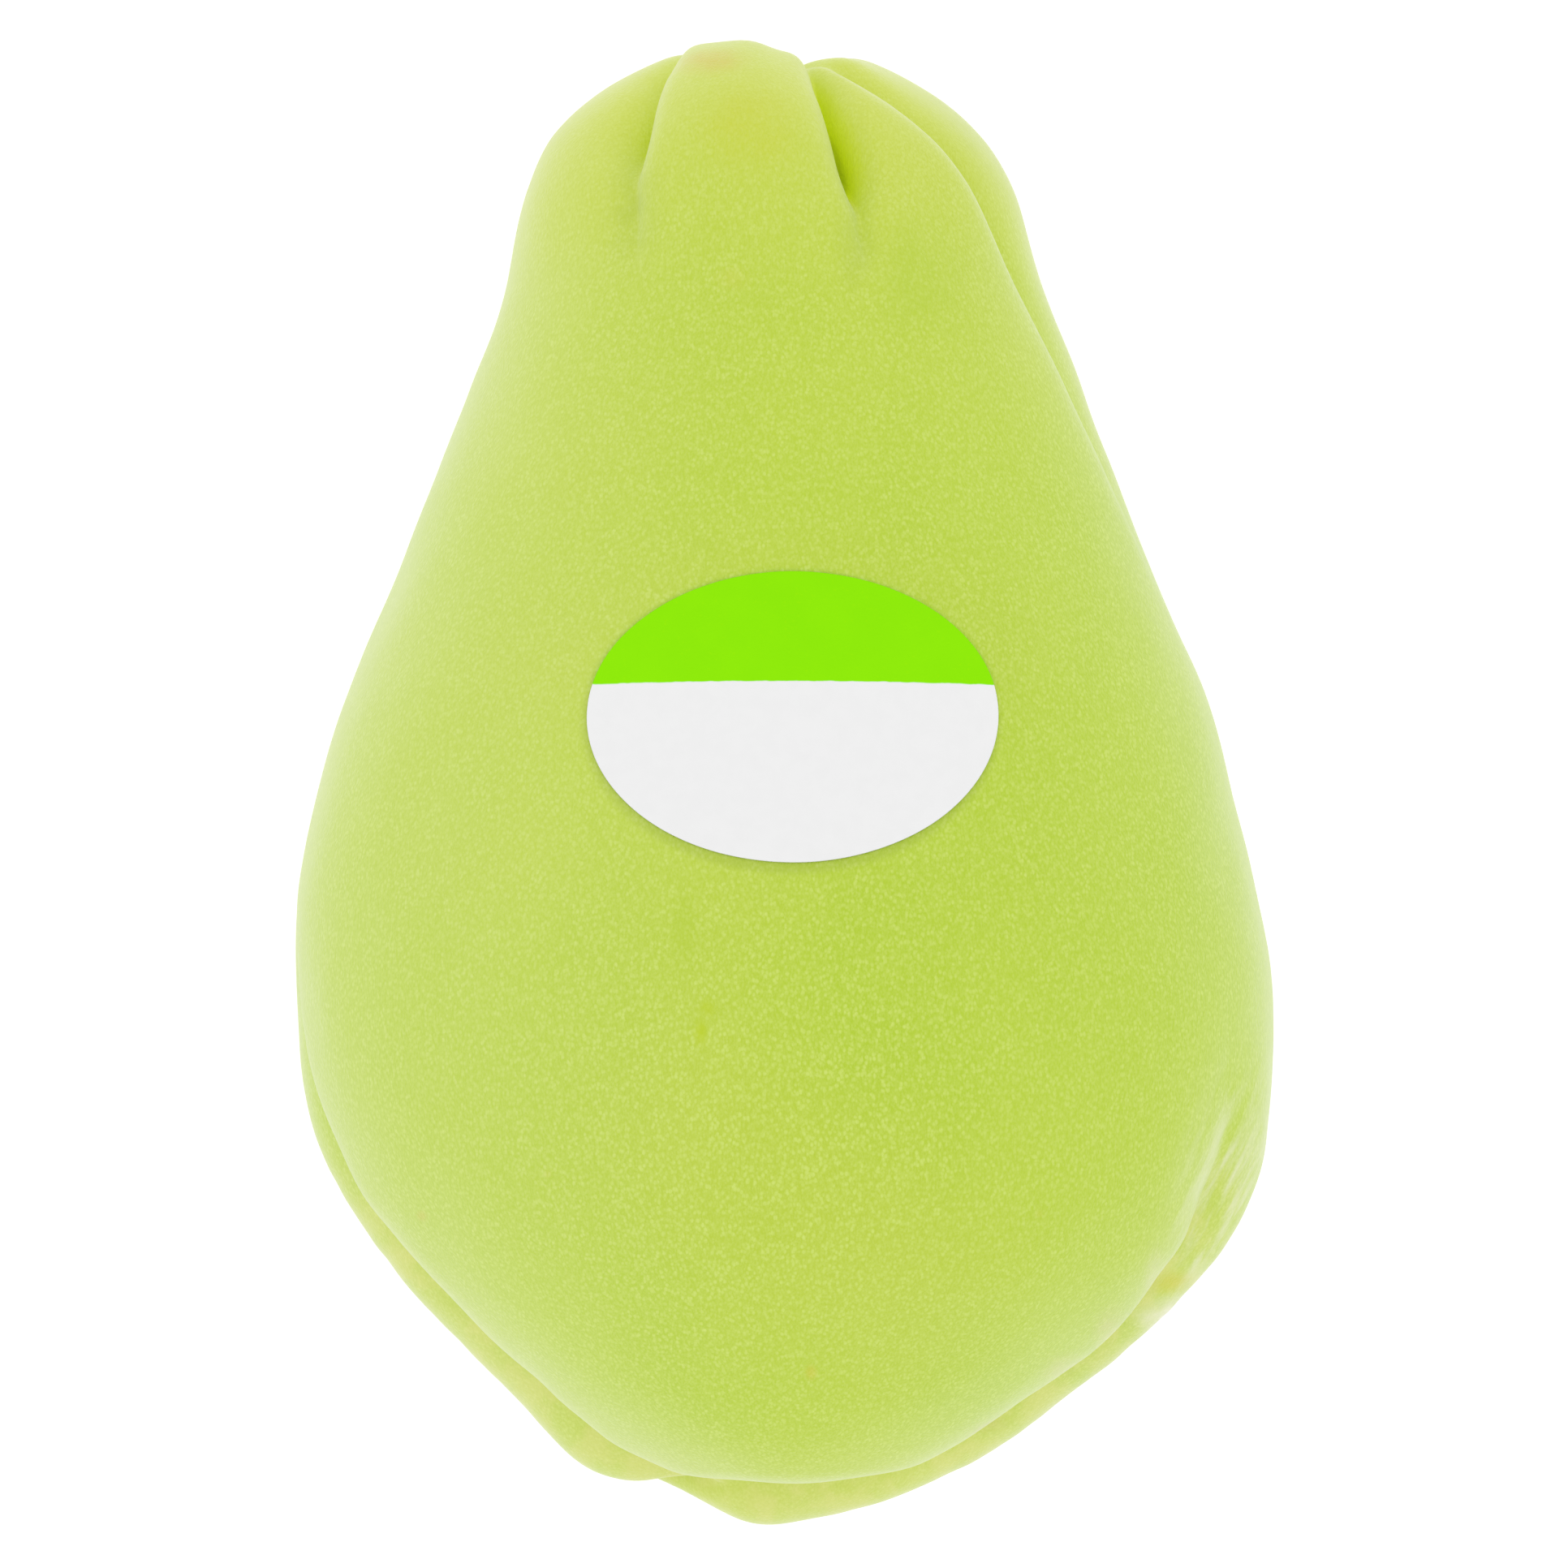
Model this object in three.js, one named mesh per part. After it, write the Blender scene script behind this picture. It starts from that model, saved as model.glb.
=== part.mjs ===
// A chayote squash, picked and lying on its back, with an oval paper sticker on its front.
// Millimetres, +Z up. The stem end points along +Y and the blossom end, with its mouth, along -Y.
// The origin is under the middle of the fruit, on the surface that it lies on.
import * as THREE from 'three';

// The fruit's plain form, before its folds: nine cross-sections square to its length.
// Section k lies at y = HALF_LENGTH * cos(pi * k / 10), counted from the stem end.
const HALF_LENGTH = 64.2;
const SECTIONS = [
  { right: 10.2, left: -13.5, front: 38.0, back: 14.5 },
  { right: 19.4, left: -21.9, front: 45.0, back: 9.0 },
  { right: 25.5, left: -26.4, front: 50.0, back: 5.5 },
  { right: 32.2, left: -33.3, front: 56.0, back: 1.8 },
  { right: 38.9, left: -40.6, front: 62.0, back: 0.0 },
  { right: 42.6, left: -43.0, front: 66.0, back: 0.0 },
  { right: 39.3, left: -36.8, front: 65.0, back: 2.8 },
  { right: 26.2, left: -24.1, front: 58.0, back: 10.0 },
  { right: 11.8, left: -9.0, front: 49.0, back: 21.5 },
];
const STEM_POLE = { x: -2.0, z: 27.0 };
const BLOSSOM_POLE = { x: 0.5, z: 37.5 };
const FULLNESS = 0.03; // how much fuller than an ellipse a section is at its corners
const FLAT_CUT = 0.7; // depth of the resting flat pressed into the back

// The lines that the folds follow, as the angle in degrees round the fruit at each section and
// both poles: 0 is the right side, 90 the front, 180 the left side and 270 the back.
const RIGHT_SEAM = [54, 42, 31, 21, 12, 9, 30, 23, 12, 4, 0];
const FRONT_RIGHT = [50, 66, 69.5, 71, 70, 69, 68, 68, 68, 68, 68];
const FRONT_LEFT = [168, 137, 124, 119, 118, 117, 116, 114, 112, 112, 112];
const LEFT_SEAM = [200, 204, 205, 200, 190, 181, 174, 169, 166, 171, 180];
const BACK_LEFT = [252, 250, 248, 246, 244, 242, 240, 232, 214, 190, 188];
const BACK_RIGHT = [306, 305, 304, 304, 305, 306, 308, 310, 312, 316, 322];
const LINES = [RIGHT_SEAM, FRONT_RIGHT, FRONT_LEFT, LEFT_SEAM, BACK_LEFT, BACK_RIGHT];

// The furrows. Depth is a list of [share of the length from the stem end, depth in mm]. Before and
// after are how far the furrow's walls reach on its lower-angle and higher-angle sides, and floor
// is the roundness of its bottom.
const FURROWS = [
  {
    line: FRONT_RIGHT, before: 1.2, after: 0.9, floor: 0.3,
    depth: [[0, 0.4], [0.06, 1.8], [0.12, 4.2], [0.18, 5.4], [0.23, 1.4], [0.27, 0]],
  },
  {
    line: FRONT_LEFT, before: 1.1, after: 3.4, floor: 0.3,
    depth: [[0, 0.2], [0.06, 1], [0.11, 3.6], [0.16, 4.4], [0.21, 1.6], [0.27, 0]],
  },
  {
    line: RIGHT_SEAM, before: 6, after: 1.4, floor: 0.5,
    depth: [[0, 0.3], [0.06, 1.6], [0.12, 3.6], [0.22, 3.2], [0.32, 1.8], [0.46, 0]],
  },
  {
    line: LEFT_SEAM, before: 3, after: 3, floor: 0.5,
    depth: [[0, 0.5], [0.06, 2.6], [0.14, 4], [0.22, 2.5], [0.34, 0.8], [0.45, 0]],
  },
  {
    line: BACK_LEFT, before: 2.5, after: 2.5, floor: 0.4,
    depth: [[0, 0.5], [0.06, 2.6], [0.14, 4.5], [0.2, 3], [0.3, 0.8], [0.4, 0]],
  },
  {
    line: BACK_RIGHT, before: 2.5, after: 2.5, floor: 0.4,
    depth: [[0, 0.5], [0.06, 2.6], [0.14, 4], [0.22, 2.5], [0.32, 0.8], [0.42, 0]],
  },
  {
    line: BACK_LEFT, before: 1.2, after: 1.2, floor: 0.3,
    depth: [[0.8, 0], [0.87, 2], [0.9, 3], [0.95, 0.8], [1, 0]],
  },
  {
    line: BACK_RIGHT, before: 1.8, after: 1.8, floor: 0.4,
    depth: [[0.74, 0], [0.84, 1], [0.9, 1.2], [0.95, 0.4], [1, 0]],
  },
];

// The lobes that stand up round the stem scar: a crown of one height, and what each lobe adds.
const CROWN = [[0, 0], [0.075, 2.2], [0.16, 2.2], [0.27, 0]];
const CROWN_LOBES = [
  { angle: 98, width: 18, share: 0.12 },
  { angle: 80, width: 14, share: -0.36 },
  { angle: 56, width: 13, share: -0.5 },
  { angle: 32, width: 14, share: 0.12 },
  { angle: 12, width: 25, share: -0.2 },
  { angle: 172, width: 22, share: -0.25 },
];
// The stem scar: a small round button in a dimple, at the stem pole.
const SCAR = { dimple: 2.2, dimpleRadius: 4, button: 1.2, buttonRadius: 2 };

// The mouth: a slit across the blossom end, between the front lip and the back lip. It follows
// the two side seams. The front lip is set back, less on its left side and more on its right,
// and the back lip swells out past it.
const MOUTH_RIGHT = [[0.64, 0], [0.7, 1.4], [0.8, 3], [0.9, 3.8], [1, 5]];
const MOUTH_LEFT = [[0.54, 0], [0.62, 1.2], [0.7, 2.4], [0.8, 3], [0.9, 3.8], [1, 5]];
const MOUTH_WALL = { back: 2.8, front: 1.7, floor: 0.4 };
const SET_BACK = [[0.66, 0], [0.8, 0.2], [0.88, 0.4], [0.93, 2.3], [0.96, 4.3], [1, 5]];
const SET_BACK_SHAPE = { start: 0.6, reach: 14 };
const FRONT_LIP_LOBES = [
  { at: 0.865, length: 0.05, angle: 170, width: 45, height: 1.6 },
  { at: 0.94, length: 0.04, angle: 20, width: 45, height: -1.9 },
];
const BACK_LIP = [[0.6, 0], [0.68, 1.1], [0.8, 1.3], [0.9, 1.7], [1, 1.9]];
const BACK_LIP_SHAPE = { start: 1.5, crest: 5.5, reach: 5 };
// The back lip's left corner, its tongue and its right side, which stand out further still.
const BACK_LIP_LOBES = [
  { at: 0.848, length: 0.04, angle: 194, width: 20, height: 2.6 },
  { at: 0.955, length: 0.035, angle: 225, width: 50, height: 1.0 },
  { at: 0.855, length: 0.045, angle: 340, width: 30, height: 0.6 },
];

// The sticker: an oval that follows the front, seen from straight above.
const STICKER = { x: 0.6, y: 5.35, width: 34.9, height: 24.8, thickness: 0.25, gap: 0.1 };

// How finely the solids are divided.
const FRUIT_RINGS = 56;
const FRUIT_COLUMNS = [8, 9, 12, 10, 12, 12]; // between one line and the next
const COLUMN_CROWDING = 0.6; // draws the columns towards the furrows
const STICKER_RINGS = 6;
const STICKER_SPOKES = 40;

const radians = THREE.MathUtils.degToRad;
const LAST = SECTIONS.length + 1;

// A smooth curve through evenly spaced values, at s from 0 to 1.
function spline(values, s) {
  const last = values.length - 1;
  const place = Math.min(Math.max(s, 0), 1) * last;
  const i = Math.min(Math.floor(place), last - 1);
  const f = place - i;
  const a = values[i];
  const b = values[i + 1];
  const before = i > 0 ? values[i - 1] : 2 * a - b;
  const after = i + 2 <= last ? values[i + 2] : 2 * b - a;
  const cubic = 3 * (a - b) + after - before;
  return a + 0.5 * f * (b - before + f * (2 * before - 5 * a + 4 * b - after + f * cubic));
}

// A value that eases from knot to knot of a list of [share of the length, value].
function along(knots, s) {
  let value = knots[0][1];
  for (let i = 1; i < knots.length; i += 1) {
    const [s0, v0] = knots[i - 1];
    const [s1, v1] = knots[i];
    value += (v1 - v0) * THREE.MathUtils.smoothstep(s, s0, s1);
  }
  return value;
}

// The middle and the half sizes of the sections. The half sizes are divided by the sine of
// their place, so that they stay finite where the ends close.
const sine = (k) => Math.sin((Math.PI * k) / LAST);
const halfWidths = SECTIONS.map((q, i) => (q.right - q.left) / 2 / sine(i + 1));
const halfHeights = SECTIONS.map((q, i) => (q.front - q.back) / 2 / sine(i + 1));
const withEnds = (first, middle, last) => [first, ...middle, last];
const MIDDLE_X = withEnds(STEM_POLE.x, SECTIONS.map((q) => (q.right + q.left) / 2), BLOSSOM_POLE.x);
const MIDDLE_Z = withEnds(STEM_POLE.z, SECTIONS.map((q) => (q.front + q.back) / 2), BLOSSOM_POLE.z);
const HALF_WIDTH = withEnds(halfWidths[0], halfWidths, halfWidths.at(-1));
const HALF_HEIGHT = withEnds(halfHeights[0], halfHeights, halfHeights.at(-1));

// How much a section swells at an angle, over its ellipse.
function fullness(s, angle) {
  return 1 + FULLNESS * Math.sin(Math.PI * s) * Math.sin(2 * angle) ** 2;
}

// A point of the plain form, s of the way from the stem pole to the blossom pole.
function plainPoint(s, angle) {
  const size = Math.sin(Math.PI * s) * fullness(s, angle);
  return new THREE.Vector3(
    spline(MIDDLE_X, s) + spline(HALF_WIDTH, s) * size * Math.cos(angle),
    HALF_LENGTH * Math.cos(Math.PI * s),
    spline(MIDDLE_Z, s) + spline(HALF_HEIGHT, s) * size * Math.sin(angle),
  );
}

// The direction out of the plain form.
function plainNormal(s, angle) {
  const step = 1e-3;
  if (s < step || s > 1 - step) return new THREE.Vector3(0, s < 0.5 ? 1 : -1, 0);
  const lengthwise = plainPoint(s + step, angle).sub(plainPoint(s - step, angle));
  const around = plainPoint(s, angle + step).sub(plainPoint(s, angle - step));
  return around.cross(lengthwise).normalize();
}

// 1 at the bottom of a furrow and falling away on both sides of it.
function cusp(distance, before, after, floor) {
  const reach = distance < 0 ? before : after;
  return Math.exp((floor - Math.hypot(distance, floor)) / reach);
}

// The difference between two angles, from -pi to pi.
function turn(from, to) {
  return Math.atan2(Math.sin(to - from), Math.cos(to - from));
}

// How far a point lies from a line, across the line.
function distanceAcross(s, angle, line) {
  const at = radians(spline(line, s));
  const apart = turn(at, angle);
  const radius = Math.sin(Math.PI * s)
    * Math.hypot(spline(HALF_WIDTH, s) * Math.sin(at), spline(HALF_HEIGHT, s) * Math.cos(at));
  return radius * (Math.abs(apart) < Math.PI / 2 ? Math.sin(apart) : Math.sign(apart));
}

// A bell over the angle, with its top at the lobe's own angle.
function lobe(angle, { angle: at, width }) {
  return Math.exp(-((turn(radians(at), angle) / radians(width)) ** 2));
}

// What the lobes of a lip add at a place.
function lipLobes(lobes, s, angle) {
  let height = 0;
  for (const each of lobes) {
    height += each.height * lobe(angle, each) * Math.exp(-(((s - each.at) / each.length) ** 2));
  }
  return height;
}

// How far the skin stands out of the plain form, or lies in it where this is negative.
function relief(s, angle, point) {
  const rightness = (1 + Math.cos(angle)) / 2;
  const blend = (right, left) => right * rightness + left * (1 - rightness);

  const seamZ = (seam) => plainPoint(s, radians(spline(seam, s))).z;
  const overMouth = point.z - blend(seamZ(RIGHT_SEAM), seamZ(LEFT_SEAM));
  const mouthDepth = blend(along(MOUTH_RIGHT, s), along(MOUTH_LEFT, s));
  const cuts = [mouthDepth * cusp(overMouth, MOUTH_WALL.back, MOUTH_WALL.front, MOUTH_WALL.floor)];
  for (const { line, before, after, floor, depth } of FURROWS) {
    cuts.push(along(depth, s) * cusp(distanceAcross(s, angle, line), before, after, floor));
  }
  // Cubed, so that where two cuts meet the deeper one holds.
  let out = -Math.cbrt(cuts.reduce((sum, cut) => sum + cut ** 3, 0));

  const above = Math.max(overMouth, 0);
  const setBack = along(SET_BACK, s) - lipLobes(FRONT_LIP_LOBES, s, angle);
  out -= setBack * (1 - Math.exp(-above / SET_BACK_SHAPE.start))
    * Math.exp(-((above / SET_BACK_SHAPE.reach) ** 2));

  const below = Math.max(-overMouth, 0);
  const { crest, reach, start } = BACK_LIP_SHAPE;
  const swelling = along(BACK_LIP, s) * Math.exp(-(((below - crest) / reach) ** 2));
  out += (swelling + lipLobes(BACK_LIP_LOBES, s, angle)) * (1 - Math.exp(-below / start));

  out += along(CROWN, s)
    * CROWN_LOBES.reduce((sum, each) => sum + each.share * lobe(angle, each), 1);

  if (s < 0.5) {
    const fromPole = spline(HALF_WIDTH, s) * Math.sin(Math.PI * s);
    out -= SCAR.dimple * Math.exp(-((fromPole / SCAR.dimpleRadius) ** 2));
    out += SCAR.button * Math.exp(-((fromPole / SCAR.buttonRadius) ** 4));
  }
  return out;
}

// A point of the skin.
function skinPoint(s, angle) {
  const point = plainPoint(s, angle);
  return point.addScaledVector(plainNormal(s, angle), relief(s, angle, point));
}

// The angles of one ring's columns: evenly eased between the lines, closest beside them.
function ringAngles(s) {
  const angles = [];
  FRUIT_COLUMNS.forEach((count, i) => {
    const from = spline(LINES[i], s);
    const next = spline(LINES[(i + 1) % LINES.length], s);
    const to = i === LINES.length - 1 ? next + 360 : next;
    for (let j = 0; j < count; j += 1) {
      const f = j / count;
      const eased = f - (COLUMN_CROWDING * Math.sin(2 * Math.PI * f)) / (2 * Math.PI);
      angles.push(radians(from + (to - from) * eased));
    }
  });
  return angles;
}

// Splits the four-sided face a, b, c, d along its shorter diagonal.
function splitFace(points, [a, b, c, d]) {
  const short = points[a].distanceToSquared(points[c]) <= points[b].distanceToSquared(points[d]);
  return short ? [a, b, c, a, c, d] : [a, b, d, b, c, d];
}

function geometryOf(points, index) {
  const geometry = new THREE.BufferGeometry();
  geometry.setFromPoints(points);
  geometry.setIndex(index);
  geometry.computeVertexNormals();
  return geometry;
}

// The whole fruit as one closed skin: rings of points between the two poles.
function fruitPoints() {
  const points = [skinPoint(0, 0)];
  for (let i = 1; i <= FRUIT_RINGS; i += 1) {
    const s = i / (FRUIT_RINGS + 1);
    for (const angle of ringAngles(s)) points.push(skinPoint(s, angle));
  }
  points.push(skinPoint(1, 0));
  return points;
}

function fruitGeometry(points) {
  const columns = FRUIT_COLUMNS.reduce((sum, count) => sum + count, 0);
  const at = (ring, column) => 1 + (ring - 1) * columns + (column % columns);
  const stemPole = 0;
  const blossomPole = points.length - 1;
  const index = [];
  for (let j = 0; j < columns; j += 1) {
    index.push(stemPole, at(1, j + 1), at(1, j));
    for (let i = 1; i < FRUIT_RINGS; i += 1) {
      index.push(...splitFace(points, [at(i, j), at(i, j + 1), at(i + 1, j + 1), at(i + 1, j)]));
    }
    index.push(blossomPole, at(FRUIT_RINGS, j), at(FRUIT_RINGS, j + 1));
  }
  return geometryOf(points, index);
}

// The place of a front point whose x and y are known. The skin there is the plain form.
function frontPlace(x, y) {
  const s = Math.acos(y / HALF_LENGTH) / Math.PI;
  const reach = spline(HALF_WIDTH, s) * Math.sin(Math.PI * s);
  let angle = Math.PI / 2;
  for (let i = 0; i < 5; i += 1) {
    angle = Math.acos((x - spline(MIDDLE_X, s)) / (reach * fullness(s, angle)));
  }
  return [s, angle];
}

// The sticker: two oval faces, one over the other, joined round their rims.
function stickerPoints() {
  const points = [];
  for (const height of [STICKER.gap, STICKER.gap + STICKER.thickness]) {
    const place = (x, y) => {
      const [s, angle] = frontPlace(x, y);
      return skinPoint(s, angle).addScaledVector(plainNormal(s, angle), height);
    };
    points.push(place(STICKER.x, STICKER.y));
    for (let i = 1; i <= STICKER_RINGS; i += 1) {
      for (let j = 0; j < STICKER_SPOKES; j += 1) {
        const angle = (2 * Math.PI * j) / STICKER_SPOKES;
        const share = i / STICKER_RINGS;
        const x = STICKER.x + (STICKER.width / 2) * share * Math.cos(angle);
        const y = STICKER.y + (STICKER.height / 2) * share * Math.sin(angle);
        points.push(place(x, y));
      }
    }
  }
  return points;
}

function stickerGeometry(points) {
  const layer = 1 + STICKER_RINGS * STICKER_SPOKES;
  const at = (face, ring, spoke) => face * layer + 1 + (ring - 1) * STICKER_SPOKES
    + (spoke % STICKER_SPOKES);
  const index = [];
  for (let j = 0; j < STICKER_SPOKES; j += 1) {
    index.push(0, at(0, 1, j + 1), at(0, 1, j));
    index.push(layer, at(1, 1, j), at(1, 1, j + 1));
    for (let i = 1; i < STICKER_RINGS; i += 1) {
      const under = [at(0, i, j), at(0, i, j + 1), at(0, i + 1, j + 1), at(0, i + 1, j)];
      const over = [at(1, i, j), at(1, i + 1, j), at(1, i + 1, j + 1), at(1, i, j + 1)];
      index.push(...splitFace(points, under), ...splitFace(points, over));
    }
    const rim = [
      at(0, STICKER_RINGS, j), at(0, STICKER_RINGS, j + 1),
      at(1, STICKER_RINGS, j + 1), at(1, STICKER_RINGS, j),
    ];
    index.push(...splitFace(points, rim));
  }
  return geometryOf(points, index);
}

// Moves the fruit's middle over the origin and presses the resting flat into its back.
function settle(fruit, sticker) {
  const bounds = new THREE.Box3().setFromPoints(fruit);
  const middle = bounds.getCenter(new THREE.Vector3());
  const floor = bounds.min.z + FLAT_CUT;
  for (const point of [...fruit, ...sticker]) {
    point.set(point.x - middle.x, point.y - middle.y, Math.max(point.z - floor, 0));
  }
}

const skinMaterial = new THREE.MeshStandardMaterial({ color: 0xc4db5c, roughness: 0.55, metalness: 0 });
const paperMaterial = new THREE.MeshStandardMaterial({ color: 0xf1f1f1, roughness: 0.4, metalness: 0 });

const skin = fruitPoints();
const paper = stickerPoints();
settle(skin, paper);

const fruit = new THREE.Mesh(fruitGeometry(skin), skinMaterial);
fruit.name = 'fruit';
const sticker = new THREE.Mesh(stickerGeometry(paper), paperMaterial);
sticker.name = 'sticker';

const chayote = new THREE.Group();
chayote.add(fruit, sticker);

export default chayote;
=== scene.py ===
"""A chayote squash lying on its back, with its sticker up, seen from straight above.

The skin's form is worked out in millimetres, as in the part's source, and made in metres.
"""

import math

import bpy
import numpy as np
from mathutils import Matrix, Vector, noise


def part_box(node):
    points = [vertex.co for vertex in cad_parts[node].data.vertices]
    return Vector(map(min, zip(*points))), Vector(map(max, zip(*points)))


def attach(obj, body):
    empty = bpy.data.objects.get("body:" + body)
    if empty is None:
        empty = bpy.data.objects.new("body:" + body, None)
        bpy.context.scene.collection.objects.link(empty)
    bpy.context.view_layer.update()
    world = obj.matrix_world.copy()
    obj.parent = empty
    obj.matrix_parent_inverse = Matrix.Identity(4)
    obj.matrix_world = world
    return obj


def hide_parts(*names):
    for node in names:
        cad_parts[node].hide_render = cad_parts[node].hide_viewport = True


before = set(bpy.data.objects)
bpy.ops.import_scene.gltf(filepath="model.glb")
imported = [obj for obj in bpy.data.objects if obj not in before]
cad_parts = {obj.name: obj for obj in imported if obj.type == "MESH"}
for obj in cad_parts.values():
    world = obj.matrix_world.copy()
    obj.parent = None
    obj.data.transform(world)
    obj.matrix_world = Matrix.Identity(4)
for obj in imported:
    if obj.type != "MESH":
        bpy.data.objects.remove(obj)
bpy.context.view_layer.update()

MM = 0.001

# The fruit's plain form, before its folds: nine cross-sections square to its length, from the
# stem end. Section k lies at y = HALF_LENGTH * cos(pi * k / 10).
HALF_LENGTH = 64.2
SECTIONS = [
    # right, left, front, back
    (10.2, -13.5, 38.0, 14.5),
    (19.4, -21.9, 45.0, 9.0),
    (25.5, -26.4, 50.0, 5.5),
    (32.2, -33.3, 56.0, 1.8),
    (38.9, -40.6, 62.0, 0.0),
    (42.6, -43.0, 66.0, 0.0),
    (39.3, -36.8, 65.0, 2.8),
    (26.2, -24.1, 58.0, 10.0),
    (11.8, -9.0, 49.0, 21.5),
]
STEM_POLE = (-2.0, 27.0)  # x and z
BLOSSOM_POLE = (0.5, 37.5)
FULLNESS = 0.03  # how much fuller than an ellipse a section is at its corners
FLAT_CUT = 0.7  # depth of the resting flat pressed into the back

# The lines that the folds follow, as the angle in degrees round the fruit at each section and
# both poles: 0 is the right side, 90 the front, 180 the left side and 270 the back.
RIGHT_SEAM = [54, 42, 31, 21, 12, 9, 30, 23, 12, 4, 0]
FRONT_RIGHT = [50, 66, 69.5, 71, 70, 69, 68, 68, 68, 68, 68]
FRONT_LEFT = [168, 137, 124, 119, 118, 117, 116, 114, 112, 112, 112]
LEFT_SEAM = [200, 204, 205, 200, 190, 181, 174, 169, 166, 171, 180]
BACK_LEFT = [252, 250, 248, 246, 244, 242, 240, 232, 214, 190, 188]
BACK_RIGHT = [306, 305, 304, 304, 305, 306, 308, 310, 312, 316, 322]
LINES = [RIGHT_SEAM, FRONT_RIGHT, FRONT_LEFT, LEFT_SEAM, BACK_LEFT, BACK_RIGHT]

# The furrows: line, reach of the wall before and after it, roundness of its floor, and its depth
# as (share of the length from the stem end, depth).
FURROWS = [
    (FRONT_RIGHT, 1.2, 0.9, 0.3,
     [(0, 0.4), (0.06, 1.8), (0.12, 4.2), (0.18, 5.4), (0.23, 1.4), (0.27, 0)]),
    (FRONT_LEFT, 1.1, 3.4, 0.3,
     [(0, 0.2), (0.06, 1), (0.11, 3.6), (0.16, 4.4), (0.21, 1.6), (0.27, 0)]),
    (RIGHT_SEAM, 6, 1.4, 0.5,
     [(0, 0.3), (0.06, 1.6), (0.12, 3.6), (0.22, 3.2), (0.32, 1.8), (0.46, 0)]),
    (LEFT_SEAM, 3, 3, 0.5,
     [(0, 0.5), (0.06, 2.6), (0.14, 4), (0.22, 2.5), (0.34, 0.8), (0.45, 0)]),
    (BACK_LEFT, 2.5, 2.5, 0.4,
     [(0, 0.5), (0.06, 2.6), (0.14, 4.5), (0.2, 3), (0.3, 0.8), (0.4, 0)]),
    (BACK_RIGHT, 2.5, 2.5, 0.4,
     [(0, 0.5), (0.06, 2.6), (0.14, 4), (0.22, 2.5), (0.32, 0.8), (0.42, 0)]),
    (BACK_LEFT, 1.2, 1.2, 0.3, [(0.8, 0), (0.87, 2), (0.9, 3), (0.95, 0.8), (1, 0)]),
    (BACK_RIGHT, 1.8, 1.8, 0.4, [(0.74, 0), (0.84, 1), (0.9, 1.2), (0.95, 0.4), (1, 0)]),
]

# The lobes round the stem scar: a crown of one height, and what each lobe adds as
# (angle, width, share). The scar is a small button in a dimple: (height, radius).
CROWN = [(0, 0), (0.075, 2.2), (0.16, 2.2), (0.27, 0)]
CROWN_LOBES = [
    (98, 18, 0.12), (80, 14, -0.36), (56, 13, -0.5),
    (32, 14, 0.12), (12, 25, -0.2), (172, 22, -0.25),
]
SCAR_DIMPLE = (2.2, 4.0)
SCAR_BUTTON = (1.2, 2.0)

# The mouth across the blossom end, between the front lip, which is set back, and the back lip,
# which swells out. A lobe of a lip is (at, length, angle, width, height): at and length are shares
# of the fruit's length.
MOUTH_RIGHT = [(0.64, 0), (0.7, 1.4), (0.8, 3), (0.9, 3.8), (1, 5)]
MOUTH_LEFT = [(0.54, 0), (0.62, 1.2), (0.7, 2.4), (0.8, 3), (0.9, 3.8), (1, 5)]
MOUTH_BACK_WALL, MOUTH_FRONT_WALL, MOUTH_FLOOR = 2.8, 1.7, 0.4
SET_BACK = [(0.66, 0), (0.8, 0.2), (0.88, 0.4), (0.93, 2.3), (0.96, 4.3), (1, 5)]
SET_BACK_START, SET_BACK_REACH = 0.6, 14.0
FRONT_LIP_LOBES = [
    (0.865, 0.05, 170, 45, 1.6),
    (0.94, 0.04, 20, 45, -1.9),
]
BACK_LIP = [(0.6, 0), (0.68, 1.1), (0.8, 1.3), (0.9, 1.7), (1, 1.9)]
BACK_LIP_START, BACK_LIP_CREST, BACK_LIP_REACH = 1.5, 5.5, 5.0
BACK_LIP_LOBES = [
    (0.848, 0.04, 194, 20, 2.6),
    (0.955, 0.035, 225, 50, 1.0),
    (0.855, 0.045, 340, 30, 0.6),
]

# The fine unevenness of the skin, as (height, how far apart its swells are), and that of the two
# lips: the front lip's edge wanders in and out, and puckers cross the mouth.
SWELLS = [(0.22, 19.0), (0.08, 7.0)]
LIP_START, LIP_FULL, LIP_TINT_FULL = 0.64, 0.72, 0.74  # shares of the length
LIP_WANDER = [(0.35, 9.0), (0.12, 3.6)]
LIP_WANDER_REACH = 6.0
PUCKERS = [(0.22, 5.0), (0.12, 2.2)]
PUCKER_REACH = 6.0
PUCKER_FADE = [(0.84, 1), (0.92, 0.2)]  # the tongue is smoother than the lip's two sides
PUCKER_STRETCH = 0.12  # how much slower the puckers change across the mouth than along it

# The depth at which a furrow has its full painted bounced light, a deeper colour, and how much of
# it each furrow has; the same depth gives the painted shade on its floor. How yellow the ends are,
# and how far the paleness of the two lips reaches from the mouth, with a painted highlight along
# the front lip's edge.
FOLD_FULL = 4.5
FOLD_SHARES = [1, 0.5, 0.3, 0.5, 0.5, 0.5, 0.5, 0.5]
END_TINT = [(0, 1), (0.1, 1), (0.3, 0.2), (0.4, 0), (0.8, 0), (0.93, 0.5)]
# how far the painted highlight along the front lip's edge reaches from the mouth, then how far the back
# lip's paleness reaches
FRONT_HIGHLIGHT_REACH = 2.4
BACK_PALE_REACH = 9.0
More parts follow.
